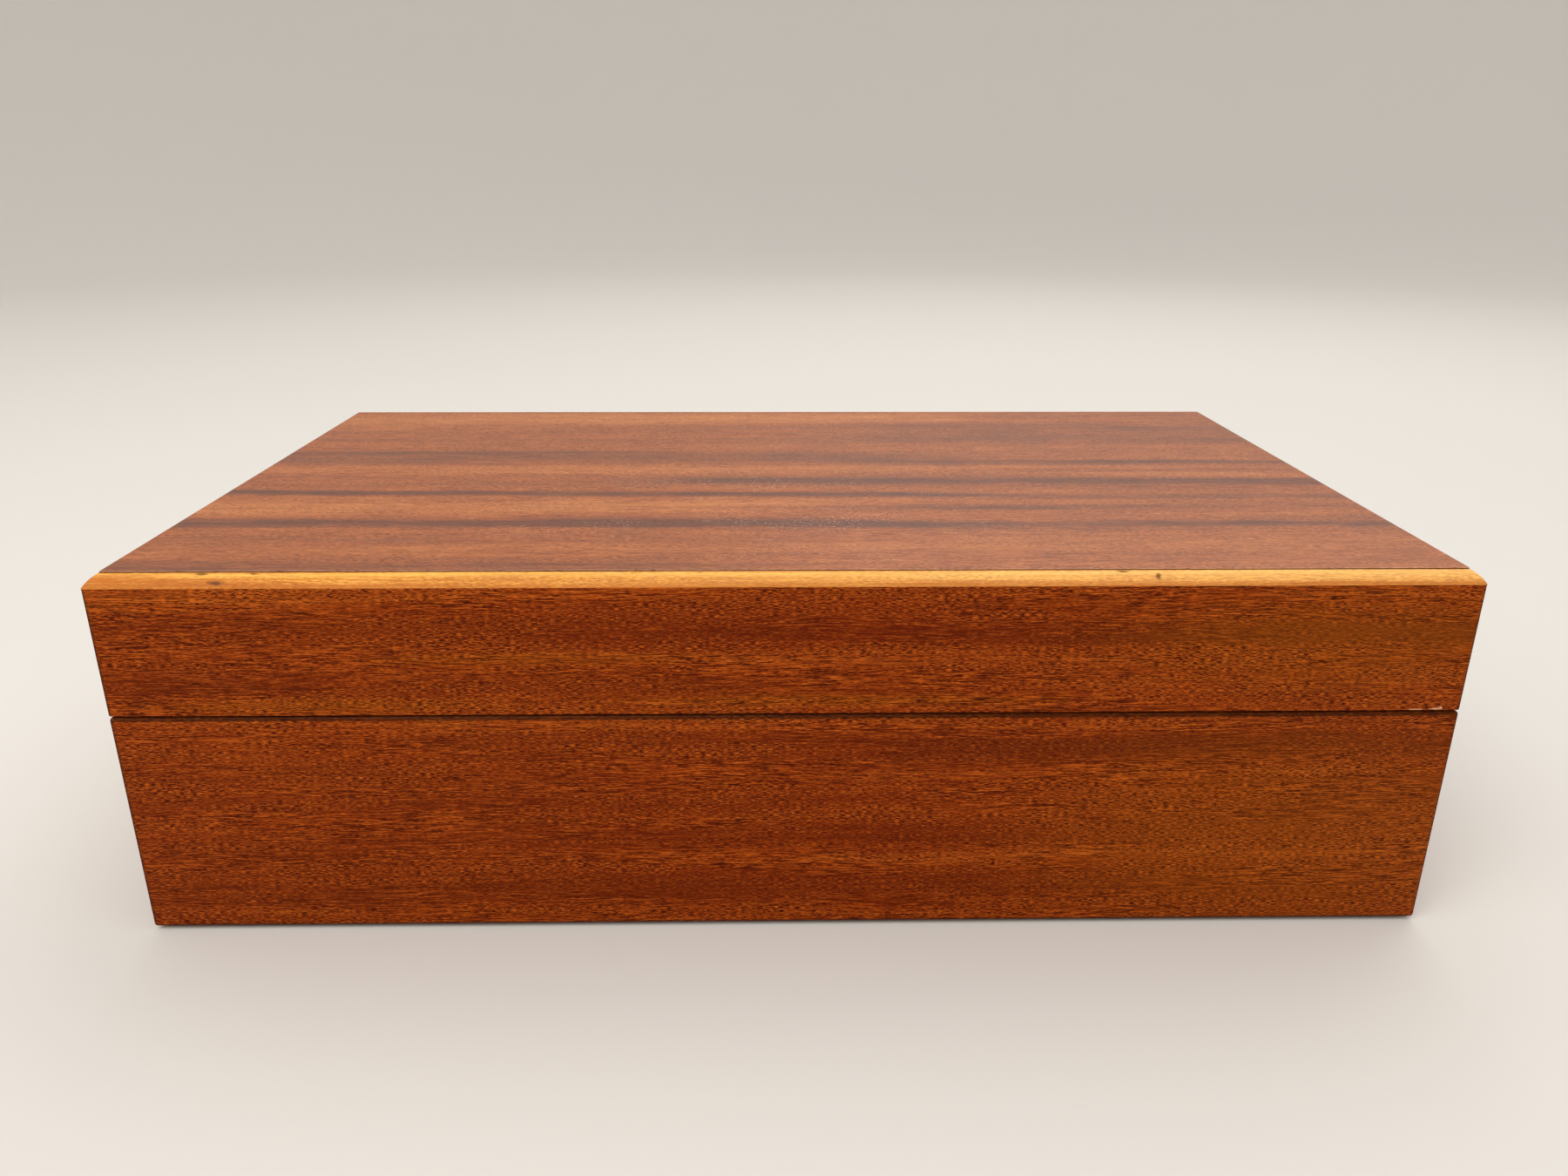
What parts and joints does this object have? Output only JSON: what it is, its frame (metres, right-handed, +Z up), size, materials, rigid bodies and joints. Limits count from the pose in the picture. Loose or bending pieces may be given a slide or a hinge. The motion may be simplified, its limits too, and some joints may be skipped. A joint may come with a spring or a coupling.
{
  "type": "cigar humidor",
  "caption": "Veneered wooden box with a hinged lid, a cedar lining and lip, a sliding divider, and a humidifier and dial hygrometer inside the lid.",
  "frame": {"origin": "middle of the surface that the box stands on", "axes": "+X along the front to the right, +Y to the back, where the hinges are, +Z up"},
  "size_m": [0.38, 0.22, 0.1125],
  "materials": {
    "mahogany_veneer": "satin lacquer over ribbon-striped red-brown veneer",
    "lipping": "satin lacquer over pale honey wood",
    "spanish_cedar": "bare planed cedar",
    "panel_core": "bare board",
    "baize": "dark green wool baize",
    "brass": "polished, a little tarnished",
    "steel": "bright plated",
    "black_plastic": "fine matte moulding",
    "foam": "open-cell foam",
    "dial_card": "cream enamel with a printed scale",
    "black_enamel": "black enamel",
    "glass": "clear, flat"
  },
  "bodies": {
    "base": {"base_front": "mahogany_veneer", "base_right": "mahogany_veneer", "base_back": "mahogany_veneer", "base_left": "mahogany_veneer", "base_bottom": "panel_core", "base_pad": "baize", "base_floor": "spanish_cedar", "base_liner_front": "spanish_cedar", "base_liner_right": "spanish_cedar", "base_liner_back": "spanish_cedar", "base_liner_left": "spanish_cedar", "hinge_left_base_leaf": "brass", "hinge_left_pin": "brass", "hinge_right_base_leaf": "brass", "hinge_right_pin": "brass", "screw_left_base_1": "brass", "screw_left_base_2": "brass", "screw_right_base_1": "brass", "screw_right_base_2": "brass"},
    "lid": {"lid_front": "mahogany_veneer", "lid_right": "mahogany_veneer", "lid_back": "mahogany_veneer", "lid_left": "mahogany_veneer", "lid_panel": "panel_core", "lid_veneer": "mahogany_veneer", "lipping_front": "lipping", "lipping_right": "lipping", "lipping_back": "lipping", "lipping_left": "lipping", "lid_liner_front": "spanish_cedar", "lid_liner_right": "spanish_cedar", "lid_liner_back": "spanish_cedar", "lid_liner_left": "spanish_cedar", "lid_ceiling": "spanish_cedar", "hinge_left_lid_leaf": "brass", "hinge_right_lid_leaf": "brass", "screw_left_lid_1": "brass", "screw_left_lid_2": "brass", "screw_right_lid_1": "brass", "screw_right_lid_2": "brass", "humidifier_keeper": "steel", "hygrometer_case": "brass", "hygrometer_coil": "brass", "hygrometer_dial": "dial_card", "hygrometer_spacer": "black_plastic", "hygrometer_glass": "glass", "hygrometer_bezel": "brass"},
    "divider": {"divider": "spanish_cedar"},
    "humidifier": {"humidifier_case": "black_plastic", "humidifier_foam": "foam", "humidifier_grille": "black_plastic", "humidifier_magnet_left": "steel", "humidifier_magnet_right": "steel"},
    "needle": {"hygrometer_needle": "black_enamel", "hygrometer_spindle": "steel"}
  },
  "joints": [
    {"name": "lid_hinge", "type": "hinge", "parent": "base", "child": "lid", "pos_m": [0, 0.1072, 0.0707], "axis": [-1, 0, 0], "range_deg": [0, 94]},
    {"name": "divider_slide", "type": "slide", "parent": "base", "child": "divider", "axis": [1, 0, 0], "range_m": [-0.2117, 0.1317]},
    {"name": "humidifier_pull", "type": "slide", "parent": "lid", "child": "humidifier", "axis": [0, 0, -1], "range_m": [0, 0.02]},
    {"name": "needle_turn", "type": "hinge", "parent": "lid", "child": "needle", "pos_m": [0.07, 0, 0.097], "axis": [0, 0, 1], "range_deg": [-168, 72], "stiffness_Nm_per_rad": 0.0001}
  ]
}
